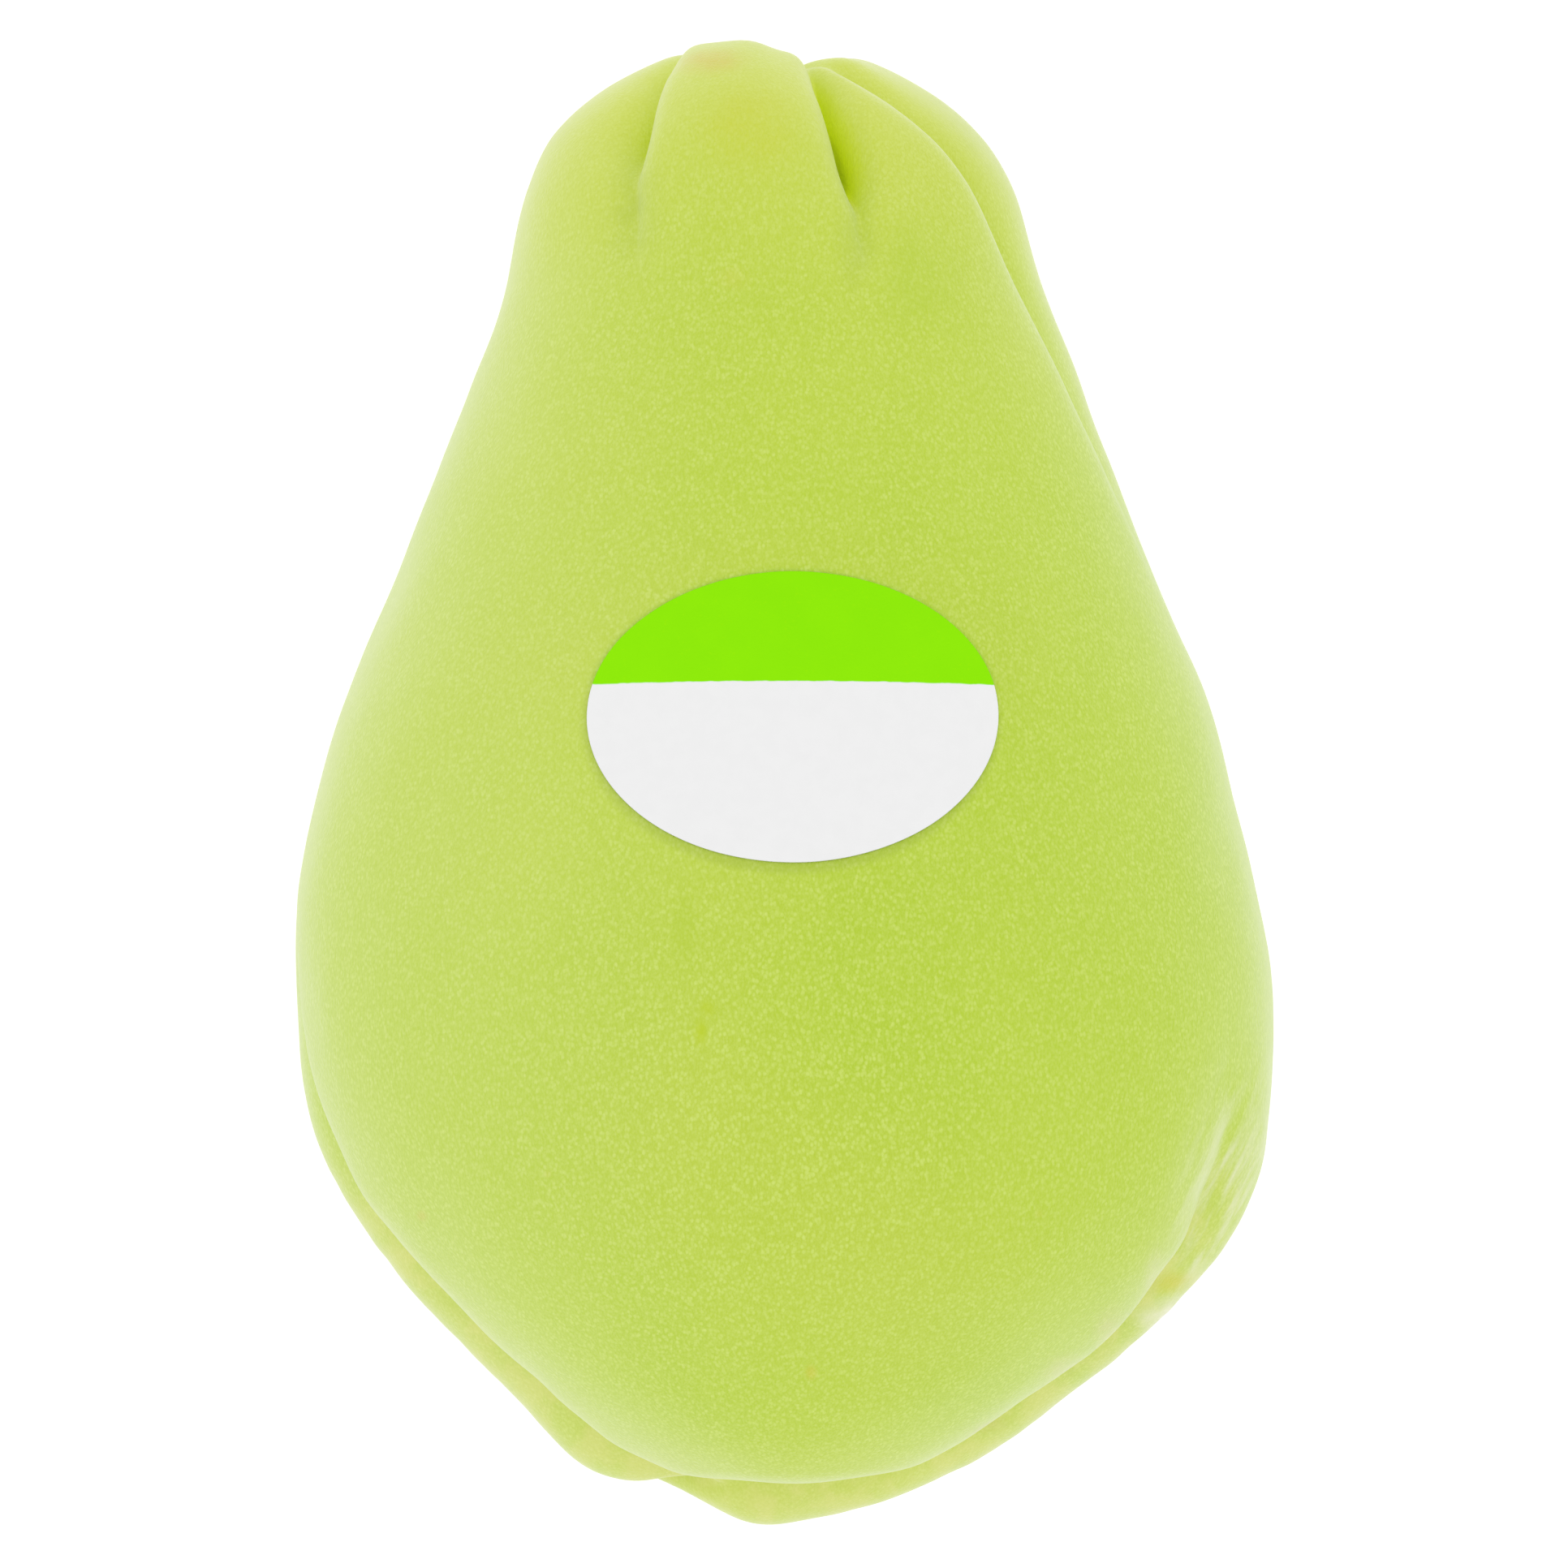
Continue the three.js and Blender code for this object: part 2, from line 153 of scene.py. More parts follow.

# The colours of the skin, as red, green and blue from 0 to 255. Its ground is deep with rich and
# warm patches, and its specks are pale. The left side is painted paler and whiter, a painted sheen,
# and both ends have colours of their own.
DEEP, RICH, WARM, PALE = (185, 212, 38), (176, 207, 8), (212, 214, 84), (208, 228, 104)
# painted sheen on the left side: a paler, whiter ground and specks
LEFT_SHEEN_GROUND, LEFT_SHEEN_PALE = (206, 224, 104), (218, 232, 140)
END_GROUND, END_PALE = (218, 224, 84), (226, 234, 134)
# painted light in the furrows: a more saturated colour for light bounced in them, and painted shade on
# their floors
FURROW_BOUNCED_LIGHT, FURROW_FLOOR_SHADE = (228, 242, 24), (140, 160, 10)
# the last colour here is a painted shadow on the skin round the sticker
LIP_PALE_AND_HIGHLIGHT, STREAK_COLOUR, STICKER_SHADOW_COLOUR = (230, 228, 138), (236, 238, 202), (150, 172, 52)
END_SHARE, GRAIN_SHARE, LIP_SHARE, STICKER_SHADOW_SHARE = 0.6, 0.3, 0.75, 0.3
LEFT_SHEEN_FROM, LEFT_SHEEN_TO = -30.0, 2.0  # x where the left side's painted sheen is full and where it ends

# How fine the skin's textures are, in features to the metre.
LARGE_SPECKS, SMALL_SPECKS, SPECK_PATCHES = 2500.0, 4000.0, 420.0
GRAIN, RICH_PATCHES, WARM_PATCHES = 5200.0, 62.0, 21.0
LIP_STREAKS, STRETCH_STREAKS, TINT_PATCHES = 330.0, 820.0, 500.0
SKIN_BUMPS, SKIN_BUMP_HEIGHT, GRAIN_HEIGHT = 260.0, 0.08, 0.015

# Small marks on the skin, some of them painted shade: centre and radii, colour, and how strong each is.
TINTS = [
    # the stem scar, then an orange and a yellow patch on the front lobe beside it
    ((-1.9, 61.5, 26.2), (3.2, 4.5, 3.2), (150, 132, 78), 1.0),
    ((-6.4, 62.8, 38.0), (4.4, 2.0, 12.0), (214, 190, 40), 0.7),
    ((-3.0, 57.5, 46.0), (6.0, 6.5, 12.0), (204, 212, 24), 0.6),
    # the scuff lower down than the sticker, and a faint run between the two
    ((-7.0, -20.9, 64.0), (0.9, 1.9, 14.0), (190, 212, 0), 1.0),
    ((-6.4, -18.9, 64.0), (1.0, 1.2, 14.0), (190, 212, 0), 1.0),
    ((-8.3, -12.5, 63.0), (1.8, 5.0, 12.0), (180, 208, 20), 0.5),
    # small yellowish dots
    ((2.3, -50.0, 55.0), (0.8, 1.0, 12.0), (216, 200, 50), 0.6),
    ((21.6, -36.4, 55.0), (0.6, 0.6, 12.0), (216, 200, 60), 0.5),
    ((-4.5, 43.5, 52.0), (2.4, 1.6, 12.0), (216, 212, 80), 0.4),
    ((-20.0, -33.0, 55.0), (0.6, 0.6, 12.0), (222, 206, 90), 0.5),
    ((-31.0, -37.0, 47.0), (0.8, 0.8, 12.0), (218, 200, 90), 0.5),
    # pinkish paleness along the front lip's right side
    ((18.0, -56.0, 42.0), (2.8, 1.4, 14.0), (214, 190, 132), 0.5),
    ((24.0, -50.5, 43.0), (3.0, 2.2, 14.0), (222, 214, 150), 0.4),
    ((28.0, -46.8, 45.0), (2.2, 3.2, 14.0), (222, 214, 150), 0.4),
    ((31.8, -42.0, 45.0), (1.4, 4.0, 14.0), (224, 222, 170), 0.4),
    # the yellow crease of the back lip's right end, and the pale skin below it
    ((33.6, -43.2, 36.0), (3.4, 1.6, 18.0), (212, 210, 48), 0.9),
    ((33.2, -46.3, 35.0), (4.2, 2.5, 18.0), (238, 238, 200), 1.0),
    # painted shade in the hollows below the two front furrows
    ((-13.4, 50.2, 48.0), (3.8, 8.5, 14.0), (160, 182, 48), 0.36),
    ((6.0, 47.2, 52.0), (2.6, 7.0, 14.0), (154, 180, 30), 0.36),
    # a richer patch on the right front lobe, and painted shade on the lobe behind it
    ((12.0, 44.0, 48.0), (6.0, 8.0, 14.0), (178, 208, 20), 0.5),
    ((15.0, 56.0, 26.0), (9.0, 13.0, 13.0), (186, 206, 40), 0.4),
]

# Where the skin is stretched at the mouth's right end, it has whitish streaks: centre and radii.
STRETCH = ((37.5, -35.0, 36.0), (8.0, 17.0, 26.0))
STRETCH_TURN = math.radians(27)  # how far the streaks turn from +Y towards +X

# The belly, where the skin is richest and its specks are strongest: centre and radii.
BELLY = ((-2.0, -30.0, 60.0), (30.0, 34.0, 50.0))

INSET = 0.02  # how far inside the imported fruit's box the fine skin stays

# How finely the skin is divided.
RINGS = 408
COLUMNS = [28, 32, 44, 40, 46, 44]
COLUMN_CROWDING = 0.6

# The sticker, an oval seen from straight above.
STICKER_X, STICKER_Y = 0.6, 5.35
STICKER_WIDTH, STICKER_HEIGHT = 34.9, 24.8
STICKER_GAP, STICKER_THICKNESS = 0.08, 0.16
STICKER_RINGS, STICKER_SPOKES = 36, 220
RIM_CROWDING = 1.5  # draws the sticker's rings towards its rim
STICKER_SHADOW = ((STICKER_X, STICKER_Y, 64.0), (18.4, 13.3, 56.0))  # a painted shadow on the skin round it, a darker colour
BAND_EDGE, BAND_BLUR, BAND_WANDER = 8.75, 0.06, 0.03  # the green band's lower edge
BAND_GREEN, BAND_MOTTLE, BAND_DOTS = (146, 239, 0), (132, 228, 0), (172, 244, 0)
PAPER_WHITE, PAPER_SHADE = (244, 244, 244), (240, 240, 240)
PAPER_BUMP_HEIGHT = 0.01

# The floor, and how strong the light is at the horizon and overhead.
FLOOR_SIDE = 4.0
FLOOR_GREY, FLOOR_GLOW = 0.35, 0.8
LIGHT_LOW, LIGHT_HIGH = 0.86, 1.02

# The camera looks straight down from this height over the fruit's middle, and its frame is this
# wide there, in metres.
CAMERA_HEIGHT = 0.9
MIDDLE_HEIGHT = 0.034
FRAME_WIDTH = 0.13694
SENSOR = 36.0  # the sensor's width, in millimetres


def spline(values, s):
    """A smooth curve through evenly spaced values, at s from 0 to 1."""
    v = np.asarray(values, float)
    last = len(v) - 1
    place = np.clip(s, 0, 1) * last
    i = np.minimum(place.astype(int), last - 1)
    f = place - i
    a, b = v[i], v[i + 1]
    before = np.where(i > 0, v[np.maximum(i - 1, 0)], 2 * v[0] - v[1])
    after = np.where(i + 2 <= last, v[np.minimum(i + 2, last)], 2 * v[last] - v[last - 1])
    cubic = 3 * (a - b) + after - before
    return a + 0.5 * f * (b - before + f * (2 * before - 5 * a + 4 * b - after + f * cubic))


def along(knots, s):
    """A value that eases from knot to knot of a list of (share of the length, value)."""
    value = np.full(np.shape(s), float(knots[0][1]))
    for (s0, v0), (s1, v1) in zip(knots, knots[1:]):
        t = np.clip((s - s0) / (s1 - s0), 0, 1)
        value += (v1 - v0) * t * t * (3 - 2 * t)
    return value


def section_curves():
    """The middle and the half sizes of the sections, with both ends added."""
    right, left, front, back = np.array(SECTIONS).T
    sine = np.sin(np.pi * np.arange(1, len(SECTIONS) + 1) / (len(SECTIONS) + 1))
    width, height = (right - left) / 2 / sine, (front - back) / 2 / sine
    middle_x = np.array([STEM_POLE[0], *(right + left) / 2, BLOSSOM_POLE[0]])
    middle_z = np.array([STEM_POLE[1], *(front + back) / 2, BLOSSOM_POLE[1]])
    ended = [np.array([v[0], *v, v[-1]]) for v in (width, height)]
    return middle_x, middle_z, ended[0], ended[1]


MIDDLE_X, MIDDLE_Z, HALF_WIDTH, HALF_HEIGHT = section_curves()


def fullness(s, angle):
    return 1 + FULLNESS * np.sin(np.pi * s) * np.sin(2 * angle) ** 2


def plain_point(s, angle):
    """Points of the plain form, s of the way from the stem pole to the blossom pole."""
    size = np.sin(np.pi * s) * fullness(s, angle)
    x = spline(MIDDLE_X, s) + spline(HALF_WIDTH, s) * size * np.cos(angle)
    y = HALF_LENGTH * np.cos(np.pi * s)
    z = spline(MIDDLE_Z, s) + spline(HALF_HEIGHT, s) * size * np.sin(angle)
    return np.stack([x, y, z], -1)


def plain_normal(s, angle):
    """The direction out of the plain form."""
    step = 1e-3
    further, nearer = np.minimum(s + step, 1), np.maximum(s - step, 0)
    lengthwise = plain_point(further, angle) - plain_point(nearer, angle)
    around = plain_point(s, angle + step) - plain_point(s, angle - step)
    normal = np.cross(around, lengthwise)
    normal /= np.maximum(np.linalg.norm(normal, axis=-1, keepdims=True), 1e-12)
    pole = ((s < step) | (s > 1 - step))[..., None]
    end = np.stack([0 * s, np.where(s < 0.5, 1.0, -1.0), 0 * s], -1)
    return np.where(pole, end, normal)


def turn(start, end):
    """The difference between two angles, from -pi to pi."""
    return np.arctan2(np.sin(end - start), np.cos(end - start))


def cusp(distance, before, after, floor):
    """1 at the bottom of a furrow and falling away on both sides of it."""
    reach = np.where(distance < 0, before, after)
    return np.exp((floor - np.hypot(distance, floor)) / reach)


def distance_across(s, angle, line):
    """How far a point lies from a line, across the line."""
    at = np.radians(spline(line, s))
    apart = turn(at, angle)
    radius = np.hypot(spline(HALF_WIDTH, s) * np.sin(at), spline(HALF_HEIGHT, s) * np.cos(at))
    side = np.where(np.abs(apart) < np.pi / 2, np.sin(apart), np.sign(apart))
    return radius * np.sin(np.pi * s) * side


def lobe(angle, at, width):
    """A bell over the angle, with its top at the lobe's own angle."""
    return np.exp(-((turn(np.radians(at), angle) / np.radians(width)) ** 2))


def over_mouth(s, angle, point):
    """How far a point lies in front of the mouth, and its share of the right side."""
    rightness = (1 + np.cos(angle)) / 2
    right = plain_point(s, np.radians(spline(RIGHT_SEAM, s)))[..., 2]
    left = plain_point(s, np.radians(spline(LEFT_SEAM, s)))[..., 2]
    return point[..., 2] - right * rightness - left * (1 - rightness), rightness


def furrow_depths(s, angle):
    """The depth of each furrow at a place, without the mouth."""
    depths = [along(deep, s) * cusp(distance_across(s, angle, line), before, after, floor)
              for line, before, after, floor, deep in FURROWS]
    return np.array(depths)


def lip_lobes(lobes, s, angle):
    """What the lobes of a lip add at a place."""
    return sum(height * lobe(angle, middle, width) * np.exp(-(((s - at) / length) ** 2))
               for at, length, middle, width, height in lobes)


def relief(s, angle, point):
    """How far the skin stands out of the plain form, or lies in it where this is negative."""
    over, rightness = over_mouth(s, angle, point)
    depth = along(MOUTH_RIGHT, s) * rightness + along(MOUTH_LEFT, s) * (1 - rightness)
    mouth = depth * cusp(over, MOUTH_BACK_WALL, MOUTH_FRONT_WALL, MOUTH_FLOOR)
    out = -np.cbrt(mouth ** 3 + (furrow_depths(s, angle) ** 3).sum(0))

    above = np.maximum(over, 0)
    set_back = along(SET_BACK, s) - lip_lobes(FRONT_LIP_LOBES, s, angle)
    step = 1 - np.exp(-above / SET_BACK_START)
    out -= set_back * step * np.exp(-((above / SET_BACK_REACH) ** 2))

    below = np.maximum(-over, 0)
    swelling = along(BACK_LIP, s) * np.exp(-(((below - BACK_LIP_CREST) / BACK_LIP_REACH) ** 2))
    swelling += lip_lobes(BACK_LIP_LOBES, s, angle)
    out += swelling * (1 - np.exp(-below / BACK_LIP_START))

    lobes = sum(share * lobe(angle, at, width) for at, width, share in CROWN_LOBES)
    out += along(CROWN, s) * (1 + lobes)

    from_pole = spline(HALF_WIDTH, s) * np.sin(np.pi * s)
    scar = SCAR_BUTTON[0] * np.exp(-((from_pole / SCAR_BUTTON[1]) ** 4))
    scar -= SCAR_DIMPLE[0] * np.exp(-((from_pole / SCAR_DIMPLE[1]) ** 2))
    return out + np.where(s < 0.5, scar, 0)


def roughly(points, waves, stretch=(1, 1, 1)):
    """Smooth unevenness at points: the sum of waves of (height, distance), each -height..height."""
    flat = points.reshape(-1, 3) * stretch
    total = np.zeros(len(flat))
    for height, distance in waves:
        total += [height * 2 * noise.noise(Vector(p)) for p in (flat / distance + height).tolist()]
    return total.reshape(points.shape[:-1])


def fine_relief(s, angle, point):
    """The skin's small unevenness, and the wander and puckers of the lips."""
    over, _ = over_mouth(s, angle, point)
    lips = along([(LIP_START, 0), (LIP_FULL, 1)], s)
    above, below = np.maximum(over, 0), np.maximum(-over, 0)
    front = lips * np.exp(-((above / LIP_WANDER_REACH) ** 2)) * (1 - np.exp(-above / SET_BACK_START))
    back = lips * np.exp(-((below / PUCKER_REACH) ** 2)) * (1 - np.exp(-below / BACK_LIP_START))
    back *= along(PUCKER_FADE, s)
    across = (1, 1, PUCKER_STRETCH)
    return (roughly(point, SWELLS) + front * roughly(point, LIP_WANDER, across)
            + back * roughly(point, PUCKERS, across))


def skin_point(s, angle, height=0.0):
    """Points of the skin, or at a height over it."""
    point = plain_point(s, angle)
    out = relief(s, angle, point) + fine_relief(s, angle, point) + height
    return point + plain_normal(s, angle) * out[..., None]


def ring_angles(s):
    """The angles of every ring's columns: eased between the lines, closest beside them."""
    angles = []
    for i, count in enumerate(COLUMNS):
        start = spline(LINES[i], s)
        end = spline(LINES[(i + 1) % len(LINES)], s) + (360 if i == len(LINES) - 1 else 0)
        for j in range(count):
            f = j / count
            eased = f - COLUMN_CROWDING * math.sin(2 * math.pi * f) / (2 * math.pi)
            angles.append(np.radians(start + (end - start) * eased))
    return np.stack(angles, 1)


def new_piece(name, points, faces, material):
    """A smooth mesh object from points in metres."""
    mesh = bpy.data.meshes.new(name)
    mesh.from_pydata(points.tolist(), [], faces)
    mesh.polygons.foreach_set("use_smooth", [True] * len(mesh.polygons))
    mesh.update()
    mesh.materials.append(material)
    piece = bpy.data.objects.new(name, mesh)
    bpy.context.scene.collection.objects.link(piece)
    return piece


def fruit_places():
    """The station and angle of every point: the stem pole, the rings and the blossom pole."""
    s = np.arange(1, RINGS + 1) / (RINGS + 1)
    angles = ring_angles(s)
    stations = np.repeat(s[:, None], angles.shape[1], 1)
    return np.concatenate([[0], stations.ravel(), [1]]), np.concatenate([[0], angles.ravel(), [0]])


def fruit_points():
    """The skin's points in millimetres."""
    return skin_point(*fruit_places())


def colour_guides():
    """Each point's painted bounced light in the furrows, furrow depth and nearness to the lips and
    ends, from 0 to 1.
    """
    s, angle = fruit_places()
    over, _ = over_mouth(s, angle, plain_point(s, angle))
    depths = furrow_depths(s, angle) / FOLD_FULL
    fold = np.clip((depths.T * FOLD_SHARES).T.max(0), 0, 1)
    lips = along([(LIP_START, 0), (LIP_TINT_FULL, 1)], s)
    # a painted highlight along the front lip's edge, and a paler back lip
    lip = lips * np.where(over > 0, np.exp(-over / FRONT_HIGHLIGHT_REACH), np.exp(over / BACK_PALE_REACH))
    floor = np.clip(depths.max(0), 0, 1)
    return {"fold": fold, "floor": floor, "lip": lip, "end": along(END_TINT, s)}


def fruit_faces(count):
    """Fans at both poles and four-sided faces between the rings."""
    columns = sum(COLUMNS)
    j = np.arange(columns)
    following = (j + 1) % columns
    faces = [(0, b, a) for a, b in zip((1 + j).tolist(), (1 + following).tolist())]
    for i in range(RINGS - 1):
        near, far = 1 + i * columns, 1 + (i + 1) * columns
        faces += np.stack([near + j, near + following, far + following, far + j], 1).tolist()
    last = 1 + (RINGS - 1) * columns
    faces += [(count - 1, a, b) for a, b in zip((last + j).tolist(), (last + following).tolist())]
    return faces


def settling(points):
    """The move that puts the fruit's middle over the origin and its flat on the floor."""
    low, high = points.min(0), points.max(0)
    return -np.array([(low[0] + high[0]) / 2, (low[1] + high[1]) / 2, low[2] + FLAT_CUT])


def settle(points, move):
    """Points moved by it and pressed flat on the floor, in metres."""
    moved = points + move
    moved[:, 2] = np.maximum(moved[:, 2], 0)
    return moved * MM


def fit(points, box):
    """The small scaling that puts points just inside a box, as a function of points."""
    low, high = points.min(0), points.max(0)
    start = np.array(box[0]) + np.array([INSET, INSET, 0]) * MM
    factor = (np.array(box[1]) - INSET * MM - start) / (high - low)
    return lambda these: start + (these - low) * factor


def front_place(x, y):
    """The station and angle of front points whose x and y are known."""
    s = np.arccos(y / HALF_LENGTH) / np.pi
    reach = spline(HALF_WIDTH, s) * np.sin(np.pi * s)
    angle = np.full(s.shape, np.pi / 2)
    for _ in range(6):
        angle = np.arccos((x - spline(MIDDLE_X, s)) / (reach * fullness(s, angle)))
    return s, angle


def sticker_layer(height):
    """One oval face of the sticker at a height over the skin, from its centre out."""
    share = np.arange(1, STICKER_RINGS + 1) / STICKER_RINGS
    share = 1 - (1 - share) ** RIM_CROWDING
    spoke = 2 * np.pi * np.arange(STICKER_SPOKES) / STICKER_SPOKES
    x = STICKER_X + STICKER_WIDTH / 2 * share[:, None] * np.cos(spoke)
    y = STICKER_Y + STICKER_HEIGHT / 2 * share[:, None] * np.sin(spoke)
    x = np.append(STICKER_X, x.ravel())
    y = np.append(STICKER_Y, y.ravel())
    s, angle = front_place(x, y)
    return skin_point(s, angle, height)


def sticker_faces():
    """The under face, the upper face, and the rim between them."""
    layer = 1 + STICKER_RINGS * STICKER_SPOKES
    j = np.arange(STICKER_SPOKES)
    k = (j + 1) % STICKER_SPOKES
    faces = []
    for start, over in ((0, False), (layer, True)):
        a, b = (1 + start + j).tolist(), (1 + start + k).tolist()
        faces += [(start, p, q) if over else (start, q, p) for p, q in zip(a, b)]
        for i in range(STICKER_RINGS - 1):
            near, far = 1 + start + i * STICKER_SPOKES, 1 + start + (i + 1) * STICKER_SPOKES
            order = [near + j, far + j, far + k, near + k]
            faces += np.stack(order if over else order[::-1], 1).tolist()
    under, above = layer - STICKER_SPOKES, 2 * layer - STICKER_SPOKES
    faces += np.stack([under + j, under + k, above + k, above + j], 1).tolist()
    return faces


class Shader:
    """A material's nodes, with short calls for the kinds that are used here."""

    def __init__(self, name):
        self.material = bpy.data.materials.new(name)
        self.material.use_nodes = True
        self.nodes = self.material.node_tree.nodes
        self.links = self.material.node_tree.links
        self.surface = self.nodes["Principled BSDF"]

    def connect(self, value, socket):
        if isinstance(value, bpy.types.NodeSocket):
            self.links.new(value, socket)
        else:
            socket.default_value = value

    def set(self, name, value):
        """Sets an input of the surface."""
        self.connect(value, self.surface.inputs[name])

    def add(self, kind, inputs=(), **settings):
        node = self.nodes.new(kind)
        for name, value in settings.items():
            setattr(node, name, value)
        for name, value in dict(inputs).items():
            self.connect(value, node.inputs[name])
        return node

    def place(self, scale=(1, 1, 1), offset=(0, 0, 0), turned=0.0):
        """Object coordinates, turned about Z if need be, and stretched."""
        where = self.add("ShaderNodeTexCoord").outputs["Object"]
        if turned:
            inputs = {"Vector": where, "Angle": turned}
            where = self.add("ShaderNodeVectorRotate", inputs).outputs["Vector"]
        inputs = {"Vector": where, "Scale": scale, "Location": offset}
        return self.add("ShaderNodeMapping", inputs).outputs["Vector"]

    def noise(self, scale, detail=2.0, roughness=0.5, where=None):
        inputs = {"Scale": scale, "Detail": detail, "Roughness": roughness}
        inputs["Vector"] = where or self.place()
        return self.add("ShaderNodeTexNoise", inputs).outputs["Fac"]

    def ramp(self, value, low, high, start=0.0, end=1.0):
        """Maps low..high to start..end, eased and held at both ends."""
        inputs = {"Value": value, "From Min": low, "From Max": high, "To Min": start, "To Max": end}
        return self.add("ShaderNodeMapRange", inputs, interpolation_type="SMOOTHSTEP").outputs["Result"]

    def plus(self, a, b):
        return self.add("ShaderNodeMath", {0: a, 1: b}, operation="ADD").outputs[0]

    def times(self, a, b):
        return self.add("ShaderNodeMath", {0: a, 1: b}, operation="MULTIPLY").outputs[0]

    def guide(self, name):
        """One of the values that every point of the skin carries."""
        return self.add("ShaderNodeAttribute", attribute_name=name).outputs["Fac"]

    def mix(self, factor, a, b):
        """A colour between a and b, each a socket or a colour from 0 to 255."""
        start, end = (colour(*each) if isinstance(each, tuple) else each for each in (a, b))
        inputs = {0: factor, 6: start, 7: end}  # inputs 6 and 7 are the node's colours
        return self.add("ShaderNodeMix", inputs, data_type="RGBA").outputs[2]

    def spot(self, centre, radii, soft=1.0):
        """1 at a place on the piece, in millimetres, fading to 0 at its radii."""
        scale = [1 / (r * MM) for r in radii]
        offset = [-c / r for c, r in zip(centre, radii)]
        length = self.add("ShaderNodeVectorMath", {0: self.place(scale, offset)}, operation="LENGTH")
        return self.ramp(length.outputs["Value"], 1 - soft, 1, 1.0, 0.0)

    def bump(self, height, distance, below=None):
        """Bumps up to a distance high, in millimetres, over the ones below."""
        inputs = {"Height": height, "Distance": distance * MM}
        if below is not None:
            inputs["Normal"] = below
        return self.add("ShaderNodeBump", inputs).outputs["Normal"]


def colour(red, green, blue):
    """An sRGB colour, 0 to 255, as linear light."""
    def linear(value):
        v = value / 255
        return v / 12.92 if v <= 0.04045 else ((v + 0.055) / 1.055) ** 2.4

    return (linear(red), linear(green), linear(blue), 1.0)


def specks(m, belly):
    """Soft specks of two sizes, fainter at the ends and strongest on the belly."""
    def cells(scale):
        inputs = {"Vector": m.place((1, 0.8, 1)), "Scale": scale}
        distance = m.add("ShaderNodeTexVoronoi", inputs).outputs["Distance"]
        return m.ramp(distance, 0.18, 0.56, 1.0, 0.0)

    patches = m.ramp(m.noise(SPECK_PATCHES, 1.0), 0.35, 0.65, 0.6, 0.85)
    both = m.plus(m.times(cells(LARGE_SPECKS), patches), m.times(cells(SMALL_SPECKS), 0.35))
    calmer_ends = m.times(both, m.ramp(m.guide("end"), 0.0, 1.0, 1.0, 0.5))
    return m.times(calmer_ends, m.ramp(belly, 0.0, 1.0, 0.84, 1.1))


def plain_skin(m, grain):
    """The skin's ground and specks, before its folds, lips and marks."""
    belly = m.spot(*BELLY)
    across = m.add("ShaderNodeSeparateXYZ", {"Vector": m.place()}).outputs["X"]
    # painted sheen: paler and whiter towards the left side
    left_sheen = m.ramp(across, LEFT_SHEEN_FROM * MM, LEFT_SHEEN_TO * MM, 0.44, 0.05)
    end = m.times(m.guide("end"), END_SHARE)
    lengthwise = m.place((1, 0.38, 0.7))
    rich = m.ramp(m.noise(RICH_PATCHES, 3.0, where=lengthwise), 0.36, 0.66, 0.0, 0.5)
    rich = m.plus(rich, m.times(belly, 0.6))
    elsewhere = m.place(offset=(3, 1, 2))
    warm = m.ramp(m.noise(WARM_PATCHES, 2.0, where=elsewhere), 0.45, 0.75, 0.0, 0.25)

    ground = m.mix(warm, m.mix(rich, DEEP, RICH), WARM)
    ground = m.mix(end, m.mix(left_sheen, ground, LEFT_SHEEN_GROUND), END_GROUND)
    pale = m.mix(end, m.mix(left_sheen, PALE, LEFT_SHEEN_PALE), END_PALE)
    skin = m.mix(specks(m, belly), ground, pale)
    return m.mix(GRAIN_SHARE, skin, m.mix(grain, ground, pale))


def with_folds(m, skin):
    """The furrows with painted bounced light and painted shade on their floors, the paler lips with a
    painted highlight along the front lip's edge, and all their streaks.
    """
    # painted bounced light: the furrows more saturated
    skin = m.mix(m.ramp(m.guide("fold"), 0.2, 0.95, 0.0, 0.85), skin, FURROW_BOUNCED_LIGHT)
    # painted shade on the furrows' floors
    skin = m.mix(m.ramp(m.guide("floor"), 0.86, 1.0, 0.0, 0.22), skin, FURROW_FLOOR_SHADE)
    up = m.place((1, 1, 0.15))
    streaks = m.ramp(m.noise(LIP_STREAKS, 3.0, where=up), 0.35, 0.65, 0.35, 1.0)
    # the lips paler: on the front lip a painted highlight along its edge, on the back lip paler streaks
    skin = m.mix(m.times(m.times(m.guide("lip"), streaks), LIP_SHARE), skin, LIP_PALE_AND_HIGHLIGHT)
    aslant = m.place((1, 0.1, 0.25), turned=STRETCH_TURN)
    streaks = m.ramp(m.noise(STRETCH_STREAKS, 3.0, 0.6, aslant), 0.36, 0.68)
    return m.mix(m.times(m.spot(*STRETCH), streaks), skin, STREAK_COLOUR)


def with_marks(m, skin):
    """The painted shadow round the sticker, and the small marks, some of them painted shade."""
    # painted shadow on the skin round the sticker
    skin = m.mix(m.times(m.spot(*STICKER_SHADOW, soft=0.06), STICKER_SHADOW_SHARE), skin, STICKER_SHADOW_COLOUR)
    uneven = m.ramp(m.noise(TINT_PATCHES, 3.0), 0.3, 0.7, 0.5, 1.0)
    # some of these marks are painted shade: the hollows below the front furrows and the right back lobe
    for centre, radii, tint, share in TINTS:
        skin = m.mix(m.times(m.times(m.spot(centre, radii), uneven), share), skin, tint)
    return skin


